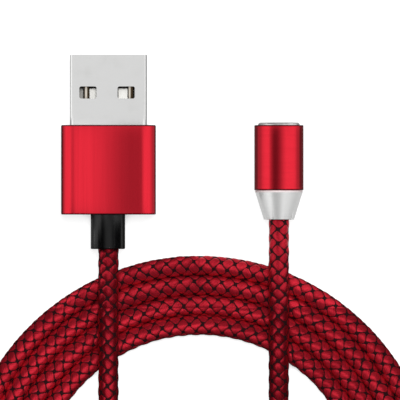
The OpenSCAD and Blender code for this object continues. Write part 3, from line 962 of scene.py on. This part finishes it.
def turned_red(place):
    """Red anodised aluminium with the fine rings that the lathe left."""
    rings_cut, tone = lathe_marks(place, anodised_red, anodised_deep)
    return {
        "Base Color": shaded_ends(place, tone, barrel_rear, barrel_front),
        "Metallic": 1.0,
        "Roughness": 0.17 + 0.05 * rings_cut,
        "Normal": bumped(rings_cut, strength=0.03),
    }


barrel = turned(
    "barrel_sleeve",
    [(barrel_bore_r, barrel_rear), (barrel_r - barrel_chamfer, barrel_rear),
     (barrel_r, barrel_rear + barrel_chamfer), (barrel_r, barrel_front - barrel_chamfer),
     (barrel_r - barrel_chamfer, barrel_front), (barrel_bore_r, barrel_front)],
    tip_x, tip_z, steps=128,
)
ease(barrel, barrel_edge)
dress(barrel, finish("anodised_turned", turned_red), "red_aluminium", "tip_barrel")

# The silver cone is turned from aluminium and left clear. Its spigot is pressed into
# the barrel's rear end, and the cord runs in through its bore.
cone_r, cone_end_r, cone_rear = 0.0037, 0.0024, -0.0106
cone_front, cone_band = -0.00602, 0.0003
spigot_r, spigot_front, cord_bore_r = 0.00325, -0.0045, 0.0016
cone_end_band, cone_end_step, cone_edge = 0.00018, 0.00002, 0.00006
silver = (0.82, 0.82, 0.815, 1)
silver_deep = (0.77, 0.77, 0.765, 1)
# A painted pinkish reflection for the cone's matt front rim.
rim_painted_reflection = (0.95, 0.82, 0.82, 1)


def turned_silver(place):
    """Clear anodised aluminium with fine turning rings, and a matt front rim with a painted
    pinkish reflection.
    """
    rings_cut, tone = lathe_marks(place, silver, silver_deep)
    # The front rim is matt and painted with a pinkish reflection.
    rim = place.along("Y").rise(cone_front - 1.1 * cone_band, cone_front - 0.9 * cone_band)
    return {
        "Base Color": blend(place, rim, tone, rim_painted_reflection),
        "Metallic": 1 - rim,
        "Roughness": 0.2 + 0.06 * rings_cut + 0.3 * rim,
        "Normal": bumped(rings_cut, strength=0.03),
    }


cone = turned(
    "silver_cone",
    [(cord_bore_r, cone_rear), (cone_end_r, cone_rear),
     (cone_end_r + cone_end_step, cone_rear + cone_end_band),
     (cone_r, cone_front - cone_band), (cone_r, cone_front),
     (spigot_r, cone_front), (spigot_r, spigot_front), (cord_bore_r, spigot_front)],
    tip_x, tip_z, steps=128,
)
ease(cone, cone_edge)
dress(cone, finish("clear_aluminium", turned_silver), "silver_aluminium", "tip_cone")

# The tip's face: a nickel-plated ring magnet that holds the adapter and carries the
# earth side, with a black insulator in its bore round the sprung contact.
magnet_r, magnet_bore_r = 0.00325, 0.0016
face_y, magnet_rear, magnet_chamfer = 0.0046, 0.0016, 0.0002
face_inset, face_edge, insulator_r, insulator_bore_r = 0.0001, 0.00004, 0.00155, 0.0008
plating_tones = ((0.78, 0.775, 0.76, 1), (0.66, 0.65, 0.63, 1))

magnet = turned(
    "ring_magnet",
    [(magnet_bore_r, magnet_rear), (magnet_r, magnet_rear),
     (magnet_r, face_y - magnet_chamfer), (magnet_r - magnet_chamfer, face_y),
     (magnet_bore_r, face_y)],
    tip_x, tip_z,
)
ease(magnet, face_edge)
dress(magnet, mottled(
    "plated_magnet", plating_tones, scale=1400, detail=5, patches=(0.45, 0.75), rough=(0.12, 0.22)
), "plated_magnet", "tip_magnet")
face_insulator = turned(
    "face_insulator",
    [(insulator_bore_r, magnet_rear), (insulator_r, magnet_rear),
     (insulator_r, face_y - face_inset), (insulator_bore_r, face_y - face_inset)],
    tip_x, tip_z, steps=64,
)
ease(face_insulator, face_edge)
dress(face_insulator, black_moulding, "black_plastic", "tip_insulator")

# The sprung contact is a turned brass barrel with a rolled-in lip, a plunger with a
# domed nose, and a steel spring behind it. Barrel and plunger are gold-plated.
pogo_r, pogo_bore_r = 0.00075, 0.00055
pogo_front, pogo_rear, pogo_lip, pogo_end = 0.00365, -0.00075, 0.00025, 0.0003
nose_r, nose_slip, nose_tip = 0.0004, 0.00004, 0.00455
shoulder_r, shoulder_front, shoulder_len = 0.00051, 0.00338, 0.0008
dome_steps, pogo_edge, nose_edge = 6, 0.00003, 0.00002
spring_tones = ((0.6, 0.59, 0.57, 1), (0.42, 0.42, 0.43, 1))

pogo_sleeve = turned(
    "sprung_contact_barrel",
    [(0, pogo_rear), (pogo_r, pogo_rear), (pogo_r, pogo_front),
     (nose_r + nose_slip, pogo_front), (nose_r + nose_slip, pogo_front - pogo_lip),
     (pogo_bore_r, pogo_front - pogo_lip), (pogo_bore_r, pogo_rear + pogo_end),
     (0, pogo_rear + pogo_end)],
    tip_x, tip_z, steps=48,
)
ease(pogo_sleeve, pogo_edge)
dress(pogo_sleeve, gold_plate, "gold_contact", "pogo_barrel")
dome = [
    (nose_r * math.cos(angle), nose_tip - nose_r + nose_r * math.sin(angle))
    for angle in np.linspace(0, math.pi / 2, dome_steps, endpoint=False)
]
plunger = turned(
    "sprung_contact_plunger",
    [(0, shoulder_front - shoulder_len), (shoulder_r, shoulder_front - shoulder_len),
     (shoulder_r, shoulder_front), (nose_r, shoulder_front), *dome, (0, nose_tip)],
    tip_x, tip_z, steps=48,
)
ease(plunger, nose_edge)
dress(plunger, gold_plate, "gold_contact", "pogo_plunger", body="plunger")
spring = eased_copy("sprung_contact_spring", "pogo_spring")
bpy.ops.object.shade_smooth_by_angle(angle=smooth_under)
spring_wire = mottled("spring_wire", spring_tones, scale=2500, rough=(0.18, 0.12))
dress(spring, spring_wire, "spring_steel", "pogo_spring")
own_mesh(spring)

# Behind the magnet a bronze washer takes the earth side to a round green board, which
# carries the sprung contact. A nylon spacer sleeve holds the board forward.
bronze_tones = ((0.66, 0.4, 0.17, 1), (0.5, 0.28, 0.12, 1))
board_tones = ((0.012, 0.13, 0.05, 1), (0.008, 0.08, 0.035, 1))
cloth_scale = 900.0


def board_lacquer(place):
    """Green solder lacquer over glass cloth, whose weave shows faintly."""
    cloth, across = (
        place.node("TexWave", {"bands_direction": way}, {"Vector": place, "Scale": cloth_scale})
        for way in "XZ"
    )
    return {
        "Base Color": blend(place, cloth * across, *board_tones),
        "Roughness": 0.25 + 0.1 * cloth,
    }


coat("tip_earth_washer", mottled(
    "rolled_bronze", bronze_tones, scale=1500, detail=4, patches=(0.35, 0.75), rough=(0.28, 0.15)
))
coat("tip_board", finish("board_lacquer", board_lacquer))
coat("tip_spacer", cream_moulding)

# The stage: a white floor that keeps a faint shadow, soft boxes above, and cards that
# only reflections see. The cards give polished metal the dark bands and edges that a
# light tent's slits give it, and one of them stands between the plug and the tip.
floor_half, floor_z = 6.0, -0.00005
floor_grey, floor_glow = 0.34, 0.84
shadow_reach, shadow_band = 0.004, (0.12, 0.4)
bpy.ops.object.select_all(action="DESELECT")
bpy.ops.mesh.primitive_plane_add(size=2 * floor_half, location=(0, 0, floor_z))
floor = bpy.context.object
floor.name = "floor"


def shown_white(place):
    """1 for rays from the camera, in mirrors and through glass, and 0 for all others."""
    seen = place.node("LightPath", output="Is Camera Ray")
    for ray in ("Is Glossy Ray", "Is Transmission Ray"):
        seen = place.maths("MAXIMUM", seen, place.node("LightPath", output=ray))
    return seen


def white_floor(place):
    """White board, which goes grey only where something stands close over it."""
    open_air = place.node(
        "AmbientOcclusion", {"samples": 8}, {"Distance": shadow_reach}, output="AO"
    )
    lit = shown_white(place) * open_air.rise(*shadow_band)
    return {
        "Base Color": (floor_grey, floor_grey, floor_grey, 1),
        "Roughness": 1.0,
        "Specular IOR Level": 0.0,
        "Emission Color": blend(
            place, lit, (0, 0, 0, 1), (floor_glow, floor_glow, floor_glow, 1)
        ),
        "Emission Strength": 1.0,
    }


floor.data.materials.append(finish("floor_white", white_floor))


def card_looks(axis, stops):
    """The glow of a card along one axis, given as places and levels."""
    start, end = stops[0][0], stops[-1][0]
    ramp = [((at - start) / (end - start), (level, level, level)) for at, level in stops]

    def looks(place):
        share = (place.along(axis) - start) * (1 / (end - start))
        return {
            "Base Color": (0, 0, 0, 1),
            "Specular IOR Level": 0.0,
            "Emission Color": place.node("ValToRGB", {"stops": ramp}, {"Fac": share}),
            "Emission Strength": 1.0,
        }

    return looks


def even(level):
    """The same glow all over a card."""
    return [(-1.0, level), (1.0, level)]


def card(name, centre, size, turn, axis, stops):
    """A card that only reflections see, turned about X and Y and fixed in its mesh."""
    bpy.ops.object.select_all(action="DESELECT")
    bpy.ops.mesh.primitive_plane_add(
        size=1, location=centre, rotation=[math.radians(angle) for angle in (*turn, 0)]
    )
    made = bpy.context.object
    made.scale = (*size, 1)
    bpy.ops.object.transform_apply(location=True, rotation=True, scale=True)
    made.name = name
    made.data.materials.append(finish(name + "_glow", card_looks(axis, stops)))
    made.visible_camera = made.visible_diffuse = made.visible_transmission = False
    made.visible_shadow = made.visible_volume_scatter = False


left_levels = [(0.0, 0.1), (0.0042, 0.5), (0.008, 0.92), (0.01, 1.0), (0.03, 1.0)]
middle_levels = [
    (0.0, 0.25), (0.002, 0.42), (0.006, 0.5), (0.0072, 0.75), (0.011, 0.98), (0.014, 1.0),
]
cone_wall_levels = [(0.0, 0.6), (0.006, 0.74), (0.012, 1.0), (0.022, 1.0)]
cone_side_levels = [(0.0, 0.62), (0.0074, 0.72), (0.0138, 0.83), (0.018, 0.88)]
front_levels = [(-0.031, 0.12), (0.002, 0.12), (0.009, 0.35), (0.035, 0.35)]
strip_levels = [(0.003, 0.06), (0.006, 0.02), (0.0195, 0.02)]
under_collar = [(-0.028, 0.25), (-0.0116, 0.25), (-0.0085, 0.06), (0.002, 0.06)]
housing_levels = [
    (-0.0275, 1.0), (-0.0252, 0.66), (-0.021, 0.66), (-0.0185, 0.85), (-0.0162, 1.0),
    (-0.0145, 0.98), (-0.0118, 0.7), (-0.0095, 0.42), (-0.0075, 0.34), (-0.005, 0.5),
    (-0.001, 0.95), (0.002, 1.0),
]
collar_levels = [
    (-0.0275, 0.0), (-0.021, 0.01), (-0.0175, 0.15), (-0.0145, 0.42), (-0.0075, 0.5),
    (-0.0035, 0.3), (-0.0005, 0.06), (0.002, 0.0),
]
barrel_levels = [
    (0.0027, 0.8), (0.006, 0.44), (0.01, 0.16), (0.0132, 0.18), (0.0161, 0.38),
    (0.0192, 0.72), (0.0229, 1.0),
]
cone_levels = [
    (0.0027, 1.0), (0.0055, 0.78), (0.0085, 0.6), (0.0125, 0.56), (0.0164, 0.68),
    (0.0195, 0.88), (0.0229, 0.93), (0.0256, 0.9), (0.031, 0.87),
]
cards = {
    # how a card is turned and the axis of its glow; its name, centre, size and glow
    ((0, 90), "Z"): [
        ("left_wall", (-0.0275, -0.0035, 0.011), (0.022, 0.0175), left_levels),
        ("middle_wall", (0.0025, -0.0028, 0.011), (0.022, 0.016), middle_levels),
        ("right_wall", (0.031, -0.0008, 0.011), (0.022, 0.0108), middle_levels),
        ("cone_wall", (0.0027, -0.0152, 0.015), (0.014, 0.0088), cone_wall_levels),
        ("cone_foot", (0.0027, -0.01365, 0.004), (0.008, 0.0057), cone_wall_levels),
        ("collar_wall", (-0.0275, -0.0182, 0.0357), (0.0485, 0.012), even(0.01)),
        ("collar_strip", (0.0025, -0.0165, 0.01125), (0.0165, 0.0112), strip_levels),
        ("cone_side", (0.031, -0.01485, 0.013), (0.01, 0.0173), cone_side_levels),
        ("side_foot", (0.031, -0.01235, 0.004), (0.008, 0.0123), cone_side_levels),
        ("coil_west", (-0.052, -0.0582, 0.0305), (0.06, 0.0858), even(0.02)),
        ("coil_east", (0.055, -0.0582, 0.0305), (0.06, 0.0858), even(0.02)),
    ],
    ((90, 0), "X"): [
        ("front_wall", (0.002, 0.03, 0.014), (0.066, 0.028), front_levels),
        ("rear_wall", (0.017, -0.045, 0.0175), (0.03, 0.035), even(0.1)),
        ("coil_north", (0.0, -0.0245, 0.0305), (0.12, 0.06), even(0.02)),
        ("coil_south", (0.0, -0.1, 0.0305), (0.12, 0.06), even(0.02)),
    ],
    ((0, 0), "X"): [
        ("housing_ground", (-0.013, -0.00315, 0.00002), (0.03, 0.0147), even(0.06)),
        ("shell_ground", (-0.013, 0.0109, 0.00002), (0.03, 0.0134), even(0.25)),
        ("collar_ground", (-0.013, -0.0129, 0.00002), (0.03, 0.0048), under_collar),
        ("barrel_ground", (0.017, -0.0009, 0.00002), (0.03, 0.0106), even(0.12)),
        ("cone_ground", (0.017, -0.01, 0.00002), (0.03, 0.0076), even(0.68)),
        ("tip_ground", (0.017, 0.0172, 0.00002), (0.03, 0.0256), even(0.4)),
        ("shell_card", (plug_x, 0.0109, 0.02), (0.11, 0.0134), even(0.72)),
        ("housing_card", (-0.01275, -0.003, 0.02), (0.0295, 0.0144), housing_levels),
        ("collar_card", (-0.01275, -0.0154, 0.02), (0.0295, 0.0104), collar_levels),
        ("barrel_card", (0.0128, -0.00198, 0.0177), (0.0202, 0.01255), barrel_levels),
        ("cone_card", (0.01685, -0.0159, 0.0177), (0.0283, 0.0153), cone_levels),
        ("coil_ground", (0.0, -0.05665, 0.00001), (0.12, 0.0827), even(0.02)),
    ],
}
for (turn, axis), row in cards.items():
    for name, centre, size, stops in row:
        card(name, centre, size, turn, axis, stops)

world = bpy.data.worlds.new("studio")
bpy.context.scene.world = world
world.use_nodes = True
around = Socket(world.node_tree, world.node_tree.nodes.new("ShaderNodeTexCoord").outputs[0])
room_light = 0.04
around.feed(world.node_tree.nodes["Background"], {
    "Color": (1, 1, 1, 1), "Strength": room_light + shown_white(around) * (1 - room_light),
})

soft_boxes = [
    # name, place, power
    ("key_box", (0.2, 0.16, 0.42), 0.45), ("top_box", (0.01, 0.08, 0.6), 2.9),
]
box_size, box_aim = 0.16, Vector((0, -0.02, 0))
for name, place, power in soft_boxes:
    bpy.ops.object.light_add(type="AREA", location=place)
    lamp = bpy.context.object
    lamp.name = name
    lamp.data.size, lamp.data.energy = box_size, power
    lamp.visible_glossy = False
    lamp.rotation_euler = (box_aim - Vector(place)).to_track_quat("-Z", "Y").to_euler()
